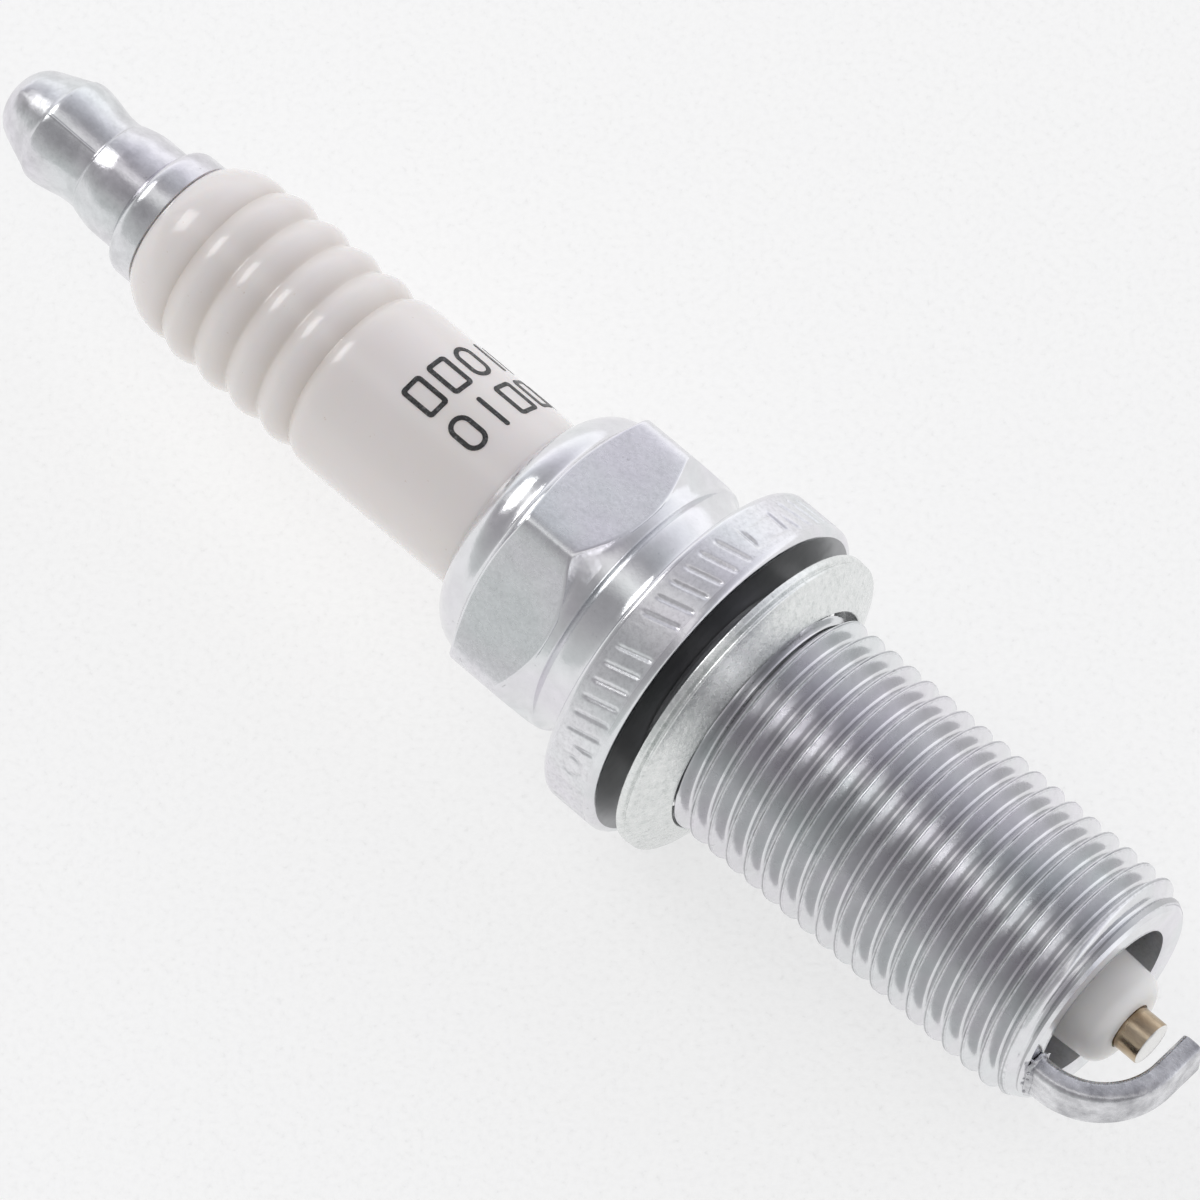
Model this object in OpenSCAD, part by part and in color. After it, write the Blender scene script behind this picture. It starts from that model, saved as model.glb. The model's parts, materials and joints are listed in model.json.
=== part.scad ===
// Spark plug, long reach, taken apart into the pieces it is assembled from.
// It lies along X: the spark gap points to +X and the lead terminal to -X.
// The origin is on the axis, in the plane of the flange's seat face.
// Each piece is turned about Z with the terminal upwards, and lay() tips it over.

/* [Thread] */
// Major diameter of the screw thread
thread_d = 14; // [13.9:0.02:14.06]
// Pitch of the screw thread
thread_pitch = 1.25; // [1.2:0.01:1.28]
// Reach, from the flange's seat face to the end of the shell
reach = 26.5; // [26.2:0.1:27]
// Full turns of thread
thread_turns = 17; // [14:1:17]
// Diameter of the plain relief next to the seat
relief_d = 12.4; // [12.2:0.1:12.6]

/* [Shell] */
// Hexagon across its flats
hex_af = 16; // [15.8:0.05:16.2]
// Turn of the hexagon about the axis, from +Z towards -Y
hex_clock = 20; // [0:1:60]
// Diameter of the seat flange
flange_d = 20; // [19.4:0.1:20.6]
// Height of the seat flange
flange_h = 3.25; // [3:0.05:3.4]
// Diameter of the heat-shrink neck above the flange
neck_d = 14.7; // [14.2:0.1:15.2]
// Height of the top of the crimped lip above the seat face
lip_top = 14.2; // [14:0.1:14.5]
// Bore of the shell at the firing end
end_bore_d = 9.32; // [9:0.1:9.6]

/* [Insulator] */
// Diameter of the glazed barrel
barrel_d = 10.66; // [10.5:0.02:10.7]
// Diameter at the bottom of the flashover grooves
groove_d = 9.9; // [9.6:0.1:10.2]
// Distance between neighbouring grooves
groove_pitch = 2.3; // [2.2:0.05:2.3]
// Height of the top of the insulator above the seat face
insulator_top = 38.9; // [38.8:0.1:39.4]
// Diameter of the nose at its tip
nose_tip_d = 5.44; // [5.2:0.1:5.8]

/* [Terminal] */
// Diameter of the push-on terminal
terminal_d = 6.35; // [6.2:0.05:6.4]
// Diameter of the terminal's waist
waist_d = 5.6; // [5.4:0.05:5.8]
// Height of the tip of the terminal above the seat face
overall_h = 51; // [50.8:0.1:51.2]

/* [Electrodes] */
// Diameter of the centre electrode
centre_d = 2.54; // [2.4:0.02:2.56]
// Spark gap
spark_gap = 1.1; // [0.7:0.1:1.3]
// Width of the ground electrode
strap_w = 2.7; // [2.4:0.1:2.8]
// Thickness of the ground electrode
strap_t = 1.3; // [1.2:0.1:1.4]
// Turn of the ground electrode's root about the axis, from +Z towards -Y
strap_clock = 86; // [60:1:120]

/* [Gasket] */
// Outside diameter of the crush gasket
gasket_d = 19.2; // [18.8:0.1:19.4]
// Thickness of the crush gasket before it is crushed
gasket_t = 1.9; // [1.7:0.1:2]
// Gap between the seat face and the loose gasket
gasket_gap = 1.24; // [1:0.02:1.4]

/* [Hidden] */
turn_fn = 96;
play = 0.03;

// Thread form: 60 degree flanks with a crest flat of an eighth of the pitch
crest_r = thread_d / 2;
root_r = crest_r - 0.6134 * thread_pitch;
first_crest = -4.1;
partial_crest_r = crest_r - 0.25;

// Shell, all heights from the seat face
collar_r = hex_af / 2 + 0.1;
collar_foot = 6;
hex_foot = 6.6;
hex_head = 11.5;
hex_corner_r = hex_af / sqrt(3);
end_r = 6.28;
end_chamfer = 0.9;
upper_bore_r = 6.1;
middle_bore_r = 4.75;
step_r = 3.9;
step_foot = -17;
step_head = -15.3;
step_slope = 0.82;
shoulder_foot = -0.4;
shoulder_head = 1;
washer_t = 0.4;

// Insulator
barrel_r = barrel_d / 2;
groove_r = groove_d / 2;
last_groove = 26.4;
groove_count = 5;
groove_steps = 8;
nose_end = -28.3;
body_r = middle_bore_r - 0.1;
belt_r = upper_bore_r - 0.2;
electrode_bore_r = centre_d / 2 + 0.05;
core_bore_r = 2;
counterbore_foot = -12;
counterbore_head = -11.3;

// Centre electrode and the column above it
centre_tip = -29.8;
core_r = 0.65;
core_foot = -28.4;
head_r = core_bore_r - play;
head_top = -10.2;
resistor_foot = -7.6;
resistor_top = 1.6;
glass_top = 7.6;
stud_foot = 3.6;

// Terminal stud and nut
collar_top = 40.85;
stud_thread_r = 2;
stud_thread_pitch = 0.7;
stud_turns = 9;
stud_top = 48.4;
nut_bore_r = stud_thread_r + 0.05;
nut_bore_top = 48.6;
terminal_r = terminal_d / 2;
waist_r = waist_d / 2;
stud_flange_r = 3.93;

// Gasket
gasket_r = gasket_d / 2;
gasket_hole_r = 7.1;
gasket_lip_r = 6.75;
gasket_flat_r = 8.2;

// Packing between the barrel and the shell
wire_r = 0.36;
wire_ring_r = (barrel_r + upper_bore_r) / 2;
lower_wire_z = 6.72;
upper_wire_z = 12.75;

// Ground electrode
strap_inner_r = 4.72;
strap_bend_r = 3.6;
strap_past_axis = 1.1;
strap_face = centre_tip - spark_gap;

// Tips a piece that stands along Z over onto the X axis, then turns it about X
module lay(clock = 0) {
    rotate([clock, 0, 0]) rotate([0, -90, 0]) children();
}

module turned(outline) {
    rotate_extrude($fn = turn_fn) polygon(outline);
}

module ring(outer_r, inner_r, foot, head) {
    turned([[inner_r, foot], [outer_r, foot], [outer_r, head], [inner_r, head]]);
}

module wire_ring(ring_r, z) {
    translate([0, 0, z]) rotate_extrude($fn = turn_fn) translate([ring_r, 0]) circle(wire_r, $fn = 32);
}

// Thread ridges of a turned outline, from the highest to the lowest
function ridges(count, top_z, pitch, tip_r, valley_r) = [
    for (i = [0 : count - 1])
        let (z = top_z - i * pitch, tip = pitch / 16, foot = tip + (tip_r - valley_r) * tan(30))
            each [[valley_r, z + foot], [tip_r, z + tip], [tip_r, z - tip], [valley_r, z - foot]]
];

// Height of the shell's inner seat at a radius
function seat_z(r) = step_head + (r - step_r) * step_slope;

// One flashover rib between two grooves, as a full round wave
function rib(foot) = [
    for (k = [0 : groove_steps - 1])
        [groove_r + (barrel_r - groove_r) * pow(sin(180 * k / groove_steps), 1.15),
         foot + groove_pitch * k / groove_steps]
];

module shell_thread_and_flange() {
    last_crest = first_crest - thread_turns * thread_pitch;
    turned(concat(
        [[0, lip_top - 4], [neck_d / 2, lip_top - 4]],
        [[neck_d / 2 + 0.4, collar_foot - 0.1], [neck_d / 2 + 0.1, collar_foot - 0.6]],
        [[neck_d / 2, flange_h + 1.2], [neck_d / 2 + 0.2, flange_h + 0.55], [neck_d / 2 + 0.8, flange_h + 0.15]],
        [[flange_d / 2 - 0.55, flange_h], [flange_d / 2 - 0.15, flange_h - 0.2], [flange_d / 2, flange_h - 0.6]],
        [[flange_d / 2, 0.5], [flange_d / 2 - 0.15, 0.15], [flange_d / 2 - 0.5, 0], [relief_d / 2, 0]],
        [[relief_d / 2, first_crest + 1.3]],
        ridges(thread_turns, first_crest, thread_pitch, crest_r, root_r),
        ridges(1, last_crest, thread_pitch, partial_crest_r, root_r),
        [[end_r, -reach + end_chamfer / 3], [end_r - 0.12, -reach], [0, -reach]]
    ));
}

module shell_hexagon() {
    intersection() {
        translate([0, 0, collar_foot])
            cylinder(r = hex_corner_r, h = hex_head - collar_foot + 1, $fn = 6);
        turned([
            [0, hex_foot], [hex_af / 2, hex_foot], [hex_corner_r + 0.05, hex_foot + 1.35],
            [hex_corner_r + 0.05, hex_head - 0.68], [hex_af / 2 - 0.1, hex_head + 0.03], [0, hex_head + 0.03]
        ]);
    }
}

module shell_lip() {
    turned([
        [0, collar_foot], [collar_r - 0.25, collar_foot], [collar_r, collar_foot + 0.2],
        [collar_r, hex_foot + 0.2], [7.75, hex_foot + 0.3], [7.75, hex_head + 0.1],
        [7.6, hex_head + 0.8], [7.25, hex_head + 1.5], [6.7, hex_head + 2.1], [6.1, hex_head + 2.5],
        [5.7, lip_top], [0, lip_top]
    ]);
}

module shell() {
    color("silver") lay(hex_clock) difference() {
        union() {
            shell_thread_and_flange();
            shell_hexagon();
            shell_lip();
        }
        turned([
            [0, -reach - 1], [end_bore_d / 2, -reach - 1], [end_bore_d / 2, step_foot - 0.5],
            [step_r, step_foot], [step_r, step_head], [middle_bore_r, seat_z(middle_bore_r)],
            [middle_bore_r, shoulder_foot], [upper_bore_r, shoulder_head],
            [upper_bore_r, upper_wire_z + 0.1], [upper_bore_r - 0.15, upper_wire_z + 0.4],
            [barrel_r + 0.09, upper_wire_z + 0.75], [barrel_r + 0.09, lip_top + 1], [0, lip_top + 1]
        ]);
    }
}

module insulator() {
    first_rib_foot = last_groove + (groove_count - 1) * groove_pitch;
    color("ivory") lay() turned(concat(
        [[electrode_bore_r, nose_end], [nose_tip_d / 2 - 0.3, nose_end], [nose_tip_d / 2, nose_end + 0.35]],
        [[2.85, -reach], [3.2, -20], [3.55, step_foot], [3.62, seat_z(3.62) + washer_t]],
        [[body_r - 0.05, seat_z(body_r - 0.05) + washer_t], [body_r, seat_z(body_r) + washer_t + 0.1]],
        [[body_r, shoulder_foot], [belt_r, shoulder_head], [belt_r, 5.6], [barrel_r, 6.2]],
        // a shallow relief where the lip is crimped over
        [[barrel_r, lip_top - 1.3], [barrel_r - 0.2, lip_top - 1], [barrel_r - 0.2, lip_top - 0.3]],
        [[barrel_r, lip_top + 0.1]],
        [[barrel_r, last_groove - 0.6], [groove_r + 0.12, last_groove - 0.2]],
        [for (i = [0 : groove_count - 2]) each rib(last_groove + i * groove_pitch)],
        [[groove_r, first_rib_foot], [5.05, first_rib_foot + 0.35], [5.12, first_rib_foot + 0.9]],
        [[5.02, first_rib_foot + 1.7], [4.7, first_rib_foot + 2.4], [4.3, first_rib_foot + 2.95]],
        [[stud_flange_r, insulator_top], [core_bore_r, insulator_top]],
        [[core_bore_r, counterbore_head], [electrode_bore_r, counterbore_foot]]
    ));
}

module terminal_stud() {
    stub_r = 1.62;
    color("lightsteelblue") lay() turned(concat(
        [[0, stud_top], [1.4, stud_top], [stub_r, stud_top - 0.2]],
        ridges(stud_turns, stud_top - 0.7, stud_thread_pitch, stud_thread_r, stub_r),
        [[stub_r, collar_top], [3.3, collar_top], [stud_flange_r - 0.25, collar_top - 0.3]],
        [[stud_flange_r, collar_top - 0.75], [stud_flange_r, insulator_top + play]],
        [[1.85, insulator_top + play], [1.85, glass_top + 0.3], [1.5, glass_top], [1.5, stud_foot]],
        [[0, stud_foot]]
    ));
}

module terminal_nut() {
    foot = collar_top + play;
    color("gainsboro") lay() turned([
        [nut_bore_r, foot], [terminal_r - 0.12, foot], [terminal_r, foot + 0.15], [terminal_r, foot + 2.1],
        [terminal_r - 0.12, foot + 2.7], [waist_r + 0.08, foot + 3.2], [waist_r, foot + 3.4],
        [waist_r, foot + 4.3], [waist_r + 0.14, foot + 5], [terminal_r - 0.07, foot + 5.9],
        [terminal_r, foot + 6.2], [terminal_r, foot + 6.6], [terminal_r - 0.15, foot + 6.95],
        [2.24, overall_h - 1.2], [2.08, overall_h - 0.9], [1.72, overall_h - 0.5], [1.2, overall_h - 0.18],
        [0.6, overall_h], [0, overall_h], [0, nut_bore_top], [nut_bore_r, nut_bore_top]
    ]);
}

module upper_glass_seal() {
    color("slategray") lay() turned([
        [0, resistor_top + play], [core_bore_r - play, resistor_top + play], [core_bore_r - play, glass_top],
        [1.5 + play, glass_top], [1.5 + play, stud_foot - play], [0, stud_foot - play]
    ]);
}

module resistor() {
    color("dimgray") lay() translate([0, 0, resistor_foot])
        cylinder(r = core_bore_r - play, h = resistor_top - resistor_foot, $fn = turn_fn);
}

module lower_glass_seal() {
    color("slategray") lay() translate([0, 0, head_top + play])
        cylinder(r = core_bore_r - play, h = resistor_foot - head_top - 2 * play, $fn = turn_fn);
}

module centre_electrode() {
    color("darkkhaki") lay() turned([
        [0, centre_tip], [centre_d / 2 - 0.06, centre_tip], [centre_d / 2, centre_tip + 0.06],
        [centre_d / 2, counterbore_foot + 0.1], [head_r, counterbore_head + 0.1], [head_r, head_top],
        [core_r + 0.01, head_top], [core_r + 0.01, core_foot], [0, core_foot - 0.5]
    ]);
}

module centre_electrode_copper_core() {
    color("peru") lay() turned([
        [0, core_foot - 0.45], [core_r, core_foot + 0.03], [core_r, head_top - play], [0, head_top - play]
    ]);
}

module inner_seal_washer() {
    inner = step_r + 0.05;
    outer = body_r + 0.05;
    color("lightgray") lay() turned([
        [inner, seat_z(inner) + play], [outer, seat_z(outer) + play],
        [outer, seat_z(outer) + washer_t - play], [inner, seat_z(inner) + washer_t - play]
    ]);
}

module lower_packing_ring() {
    color("gray") lay() wire_ring(wire_ring_r, lower_wire_z);
}

module talc_packing() {
    color("beige") lay()
        ring(upper_bore_r - play, barrel_r + play, lower_wire_z + wire_r + play, upper_wire_z - wire_r - play);
}

module upper_packing_ring() {
    color("gray") lay() wire_ring(wire_ring_r, upper_wire_z);
}

// Sheet-metal ring folded on itself, domed towards the seat it will be crushed on.
// Its inner lip can't pass the thread.
module gasket() {
    head = -gasket_gap;
    foot = head - gasket_t;
    color("darkseagreen") lay() turned([
        [gasket_lip_r + 0.4, head], [gasket_r - 0.35, head], [gasket_r - 0.08, head - 0.15],
        [gasket_r, head - 0.45], [gasket_r - 0.05, head - 0.8], [gasket_r - 0.3, head - 1],
        [gasket_flat_r, foot], [gasket_hole_r + 0.1, foot], [gasket_hole_r, foot + 0.12],
        [gasket_hole_r, foot + 0.6], [gasket_lip_r, foot + 0.75], [gasket_lip_r, head - 0.4]
    ]);
}

// The root is butt welded to the end of the shell, and one bend carries the strap over the tip
module ground_electrode() {
    bend_x = strap_inner_r - strap_bend_r;
    bend_z = strap_face + strap_bend_r;
    color("darkgray") lay(strap_clock) rotate([90, 0, 0]) linear_extrude(strap_w, center = true) {
        translate([strap_inner_r, bend_z]) square([strap_t, -reach - bend_z]);
        translate([-strap_past_axis, strap_face - strap_t]) square([bend_x + strap_past_axis, strap_t]);
        translate([bend_x, bend_z]) intersection() {
            difference() {
                circle(strap_bend_r + strap_t, $fn = turn_fn);
                circle(strap_bend_r, $fn = turn_fn);
            }
            translate([0, -strap_bend_r - strap_t]) square(strap_bend_r + strap_t);
        }
    }
}

shell();
insulator();
terminal_nut();
terminal_stud();
upper_glass_seal();
resistor();
lower_glass_seal();
centre_electrode();
centre_electrode_copper_core();
inner_seal_washer();
lower_packing_ring();
talc_packing();
upper_packing_ring();
gasket();
ground_electrode();
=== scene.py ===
"""Spark plug, lying on its side with the spark gap towards +X.

The sections follow the plug as it is put together: the turned and rolled shell, the glazed
insulator and its print, the terminal, the gasket, the electrodes, and the packing hidden inside.
"""
import functools
import json
import math

import bmesh
import bpy
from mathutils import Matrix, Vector, noise

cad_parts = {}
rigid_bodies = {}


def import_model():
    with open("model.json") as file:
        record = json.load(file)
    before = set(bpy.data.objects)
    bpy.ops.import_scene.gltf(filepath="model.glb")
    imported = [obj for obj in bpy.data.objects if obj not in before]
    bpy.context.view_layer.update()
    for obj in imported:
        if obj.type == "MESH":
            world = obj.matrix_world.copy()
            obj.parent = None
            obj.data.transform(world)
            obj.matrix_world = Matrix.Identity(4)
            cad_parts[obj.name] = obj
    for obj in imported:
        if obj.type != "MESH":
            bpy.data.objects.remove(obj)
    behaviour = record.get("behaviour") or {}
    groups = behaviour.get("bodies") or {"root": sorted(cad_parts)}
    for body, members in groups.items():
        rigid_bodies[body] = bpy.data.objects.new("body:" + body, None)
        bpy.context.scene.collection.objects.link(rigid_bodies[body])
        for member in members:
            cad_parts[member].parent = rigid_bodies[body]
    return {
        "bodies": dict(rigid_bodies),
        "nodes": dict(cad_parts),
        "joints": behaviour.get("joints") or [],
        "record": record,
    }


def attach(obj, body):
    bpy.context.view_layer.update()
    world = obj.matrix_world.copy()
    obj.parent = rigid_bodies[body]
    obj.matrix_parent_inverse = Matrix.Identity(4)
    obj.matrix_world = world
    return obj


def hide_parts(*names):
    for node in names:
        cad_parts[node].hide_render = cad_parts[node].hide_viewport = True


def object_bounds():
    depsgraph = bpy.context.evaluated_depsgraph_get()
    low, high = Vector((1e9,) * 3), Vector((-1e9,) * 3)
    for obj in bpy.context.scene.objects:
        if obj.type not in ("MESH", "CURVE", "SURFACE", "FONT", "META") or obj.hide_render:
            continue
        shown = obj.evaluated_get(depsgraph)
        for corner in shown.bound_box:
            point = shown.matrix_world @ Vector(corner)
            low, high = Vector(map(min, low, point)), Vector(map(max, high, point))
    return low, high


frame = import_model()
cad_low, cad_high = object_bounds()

# ------------------------------
# Floor, light and camera. The plug lies on a pale sheet in a bright tent. The camera looks down
# through an opening in the tent, which is the dark streak that runs along every polished part.
MM = 0.001
AZIMUTH, ELEVATION = math.radians(43.2), math.radians(63.7)
CAMERA_DISTANCE, PICTURE_WIDTH = 0.55, 0.0620

back = Vector((
    math.sin(AZIMUTH) * math.cos(ELEVATION),
    -math.cos(AZIMUTH) * math.cos(ELEVATION),
    math.sin(ELEVATION),
))
right = Vector((math.cos(AZIMUTH), math.sin(AZIMUTH), 0))
up = back.cross(right)
facing = Vector((0, back.y, back.z)).normalized()
aside = facing.cross(Vector((1, 0, 0)))

camera = bpy.data.objects.new("camera", bpy.data.cameras.new("camera"))
bpy.context.collection.objects.link(camera)
bpy.context.scene.camera = camera
camera.data.lens = camera.data.sensor_width * CAMERA_DISTANCE / PICTURE_WIDTH
camera.data.clip_start, camera.data.clip_end = 0.01, 10
aim = right * (-6.3 * MM) + up * (4.3 * MM)
camera.location = aim + back * CAMERA_DISTANCE
camera.rotation_mode = "QUATERNION"
camera.rotation_quaternion = (-back).to_track_quat("-Z", "Y")


def shader(name, *inputs):
    """A new node material, its tree, and the inputs of its Principled shader, with these ones set."""
    material = bpy.data.materials.new(name)
    material.use_nodes = True
    tree = material.node_tree
    surface = tree.nodes["Principled BSDF"]
    for socket, value in inputs:
        surface.inputs[socket].default_value = value
    return material, tree, surface.inputs


def add_node(tree, kind, inputs=(), **settings):
    """A node of that kind. inputs are (socket, value or output) pairs, settings its own properties."""
    node = tree.nodes.new(kind)
    for key, value in settings.items():
        setattr(node, key, value)
    for socket, value in inputs:
        if isinstance(value, bpy.types.NodeSocket):
            tree.links.new(value, node.inputs[socket])
        else:
            node.inputs[socket].default_value = value
    return node


def object_coordinates(tree):
    return add_node(tree, "ShaderNodeTexCoord").outputs["Object"]


def noise_texture(tree, scale, detail=4.0, roughness=0.55, stretch=(1, 1, 1)):
    """Noise in object space; stretch squeezes it along X, Y and Z."""
    mapping = add_node(tree, "ShaderNodeMapping", [
        ("Vector", object_coordinates(tree)), ("Scale", stretch),
    ])
    return add_node(tree, "ShaderNodeTexNoise", [
        ("Vector", mapping.outputs[0]), ("Scale", scale), ("Detail", detail), ("Roughness", roughness),
    ]).outputs["Fac"]


def ramp(tree, factor, stops):
    """A colour ramp; stops are (position, grey level or RGB)."""
    node = add_node(tree, "ShaderNodeValToRGB", [("Fac", factor)])
    elements = node.color_ramp.elements
    while len(elements) < len(stops):
        elements.new(0.5)
    for element, (position, colour) in zip(elements, stops):
        element.position = position
        element.color = (*(colour if isinstance(colour, tuple) else (colour,) * 3), 1)
    return node.outputs["Color"]


def mix(tree, share, one, two, blend="MIX"):
    """One colour turned into another by a share, or blended with it."""
    return add_node(tree, "ShaderNodeMix", [
        (0, share), (6, one), (7, two),
    ], data_type="RGBA", blend_type=blend).outputs[2]


def spread(tree, value, start, end, to_start=0.0, to_end=1.0, **settings):
    """A value from start to end, held inside them and mapped to the span from to_start to to_end."""
    return add_node(tree, "ShaderNodeMapRange", [
        ("Value", value), (1, start), (2, end), (3, to_start), (4, to_end),
    ], **settings).outputs[0]


def uneven(tree, scale, detail, roughness, low, high):
    """A value that wanders between low and high over the surface."""
    return spread(tree, noise_texture(tree, scale, detail, roughness), 0.3, 0.7, low, high)


def bump(tree, height, distance, strength=1.0, over=None):
    """The surface's direction, tilted by a height; over is an earlier bump that this one goes on."""
    inputs = [("Height", height), ("Distance", distance), ("Strength", strength)]
    if over is not None:
        inputs.append(("Normal", over))
    return add_node(tree, "ShaderNodeBump", inputs).outputs["Normal"]


def grain(tree, scale, detail, roughness, distance, strength=1.0, over=None):
    """A bump made of noise."""
    return bump(tree, noise_texture(tree, scale, detail, roughness), distance, strength, over)


def link(tree, output, socket):
    tree.links.new(output, socket)


def build_floor():
    """The sheet, far wider than the view, a hair under the plug's lowest point."""
    size = 3.0
    mesh = bpy.data.meshes.new("floor")
    level = cad_low.z - 0.02 * MM
    corners = [(-size, -size), (size, -size), (size, size), (-size, size)]
    mesh.from_pydata([(x, y, level) for x, y in corners], [], [(0, 1, 2, 3)])
    floor = bpy.data.objects.new("floor", mesh)
    bpy.context.collection.objects.link(floor)
    material, tree, surface = shader(
        "pale_sheet", ("Emission Strength", 0.67), ("Base Color", (0.36, 0.36, 0.355, 1)),
        ("Roughness", 0.9), ("Specular IOR Level", 0.0))
    flecks = noise_texture(tree, 2600, 4.0, 0.7)
    link(tree, ramp(tree, flecks, [(0.25, 0.86), (0.40, 0.96), (0.55, 1.0)]), surface["Emission Color"])
    mesh.materials.append(material)


# Brightness round the plug's axis, in degrees from the camera's side towards +Y
TENT = (
    (-180, (0.95, 0.95, 0.95)), (-110, (0.87, 0.89, 0.88)), (-70, (0.66, 0.68, 0.68)),
    (-45, (0.50, 0.505, 0.51)), (-30, (0.40, 0.395, 0.41)), (-14, (0.35, 0.345, 0.36)),
    (-2, (0.37, 0.365, 0.38)), (7, (0.72, 0.72, 0.73)), (14, (1.0, 1.0, 1.0)), (21, (0.74, 0.73, 0.75)),
    (30, (0.40, 0.395, 0.42)), (40, (0.42, 0.42, 0.45)), (54, (0.57, 0.575, 0.62)),
    (72, (0.86, 0.87, 0.93)), (95, (1.15, 1.16, 1.19)), (180, (1.05, 1.05, 1.05)),
)
# Cosine of the lamp's direction with +X, its turn round the axis like TENT's, and metres and watts
LAMP_ALONG, LAMP_ANGLE = -0.80, 14
LAMP_DISTANCE, LAMP_SIZE, LAMP_POWER = 0.6, 0.25, 0.58


def build_tent():
    """The world: a tent along the plug, whose brightness changes only round the plug's axis."""
    world = bpy.data.worlds.new("tent")
    bpy.context.scene.world = world
    world.use_nodes = True
    tree = world.node_tree
    direction = add_node(tree, "ShaderNodeTexCoord").outputs["Generated"]
    beside, near = (
        add_node(tree, "ShaderNodeVectorMath", [
            (0, direction), (1, axis),
        ], operation="DOT_PRODUCT").outputs["Value"]
        for axis in (aside, facing))
    angle = add_node(tree, "ShaderNodeMath", [(0, beside), (1, near)], operation="ARCTAN2").outputs[0]
    share = spread(tree, angle, -math.pi, math.pi)
    shade = ramp(tree, share, [(at / 360 + 0.5, colour) for at, colour in TENT])
    link(tree, shade, tree.nodes["Background"].inputs["Color"])
    tree.nodes["Background"].inputs["Strength"].default_value = 1.0


def add_lamp():
    """The one lamp: a small softbox low over the terminal's end, which models the ribs and the thread."""
    lamp_data = bpy.data.lights.new("softbox", "AREA")
    lamp_data.size = LAMP_SIZE
    lamp_data.energy = LAMP_POWER
    lamp = bpy.data.objects.new("softbox", lamp_data)
    bpy.context.collection.objects.link(lamp)
    angle = math.radians(LAMP_ANGLE)
    direction = facing * math.cos(angle) + aside * math.sin(angle)
    direction = direction * math.sqrt(1 - LAMP_ALONG ** 2) + Vector((LAMP_ALONG, 0, 0))
    lamp.location = direction * LAMP_DISTANCE
    lamp.rotation_mode = "QUATERNION"
    lamp.rotation_quaternion = direction.to_track_quat("Z", "Y")


build_floor()
build_tent()
add_lamp()
bpy.context.scene.view_settings.view_transform = "Standard"

# ------------------------------
# Shell. One steel forging, turned and rolled, zinc plated: a crimped lip, a pressed hexagon, the
# neck that is heated to pull the lip down, the seat flange with its stamped strokes, a right-hand
# M14 thread and the end face that carries the ground electrode.
PITCH = 1.25
CREST_R, ROOT_R, RELIEF_R, END_R = 7.0, 6.245, 6.2, 6.28
CREST_FLAT, ROOT_ROUND = 0.085, 0.18
LAP_WIDTH = 0.05
CREST_AT_CAMERA, THREAD_STARTS, THREAD_ENDS = 4.08, 2.45, 26.32
# Across flats, how far its corners are turned down and rounded, and the turn of one corner
HEX_AF, HEX_CORNER_CUT, HEX_SOFTNESS, HEX_CLOCK = 16.0, 0.17, 0.09, 20.0
HEX_TOP, HEX_FOOT = -11.5, -6.6
FLANGE_R, REACH = 10.0, 26.5
# A tree moves only the points that lie nearer than this to the surface it works on
SKIN = 0.01
BORE_R, STEP_R, MIDDLE_R, UPPER_R, LIP_R = 4.66, 3.9, 4.75, 6.1, 5.42


def turn(x, r, angle):
    """A point at x along the axis and r out from it, angle in degrees from +Z towards -Y, in metres."""
    a = math.radians(angle)
    return x * MM, -r * math.sin(a) * MM, r * math.cos(a) * MM


def arc(centre, radii, start, end, steps):
    """Points (x, r) on an ellipse's arc, angles in degrees from the r direction towards +x."""
    points = []
    for k in range(steps + 1):
        t = math.radians(start + (end - start) * k / steps)
        points.append((centre[0] + radii[0] * math.sin(t), centre[1] + radii[1] * math.cos(t)))
    return points


class Loft:
    """A closed surface of rings that share columns, row after row, from one end to the other."""

    def __init__(self):
        self.mesh = bmesh.new()
        self.pickled = self.mesh.faces.layers.float.new("pickled")
        # Painted shade share of each face: how far its colour goes to a dark grey, and how much rougher it
        # gets
        self.dull = self.mesh.faces.layers.float.new("dull")
        self.first = self.last = self.angles = None

    def ring(self, points, angles):
        """Adds a ring of (x, r) points, one per angle, and joins it to the last one."""
        made = [self.mesh.verts.new(turn(x, r, a)) for (x, r), a in zip(points, angles)]
        faces = self.join(made, angles) if self.last else []
        self.first = self.first or (made, angles)
        self.last, self.angles = made, angles
        return faces

    def join(self, made, angles):
        """Faces between the last ring and this one."""
        if len(self.last) != len(made):
            return self.zip(made, angles)
        return [
            self.mesh.faces.new((self.last[k - 1], self.last[k], made[k], made[k - 1]))
            for k in [*range(1, len(made)), 0]]

    def close(self):
        """Joins the last ring to the first, for a piece that is hollow right through."""
        self.join(*self.first)

    def cap(self):
        """Closes the last ring and the first with flat faces."""
        self.mesh.faces.new(self.last)
        self.mesh.faces.new(self.first[0])

    def zip(self, made, angles):
        """Triangles between two rings of different counts, by walking round both together."""
        def wheel(ring, at):
            return [*zip(at, ring), (at[0] + 360, ring[0])]
        one, two = wheel(self.last, self.angles), wheel(made, angles)
        i = k = 0
        faces = []
        while i < len(one) - 1 or k < len(two) - 1:
            if k == len(two) - 1 or (i < len(one) - 1 and one[i + 1][0] <= two[k + 1][0]):
                faces.append(self.mesh.faces.new((one[i][1], one[i + 1][1], two[k][1])))
                i += 1
            else:
                faces.append(self.mesh.faces.new((one[i][1], two[k + 1][1], two[k][1])))
                k += 1
        return faces

    def rings(self, outline, angles):
        faces = []
        for x, r in outline:
            faces += self.ring([(x, r)] * len(angles), angles)
        return faces


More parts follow.
